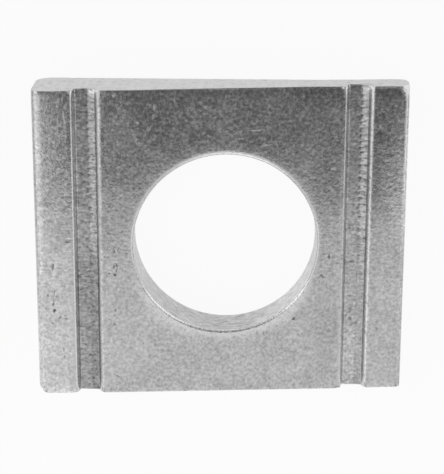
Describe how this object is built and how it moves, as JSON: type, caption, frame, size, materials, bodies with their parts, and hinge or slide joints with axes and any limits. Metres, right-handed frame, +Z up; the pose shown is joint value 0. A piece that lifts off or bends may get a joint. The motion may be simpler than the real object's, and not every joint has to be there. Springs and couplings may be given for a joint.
{
  "type": "square taper washer",
  "caption": "Square wedge-shaped steel washer with a bolt hole and marking grooves, used to level a bolt on the sloping flange of a U-section beam.",
  "frame": {"origin": "middle of the bolt hole where it opens on the smooth face", "axes": "+Z up from the smooth face, +X across the bar from its thick edge to its thin edge, +Y along the grooves"},
  "size_m": [0.036, 0.0308, 0.0059],
  "materials": {
    "steel": "rolled steel with a thin matt grey zinc coat, fine speckle and light handling marks"
  },
  "bodies": {
    "root": {"taper_washer": "steel"}
  },
  "joints": []
}
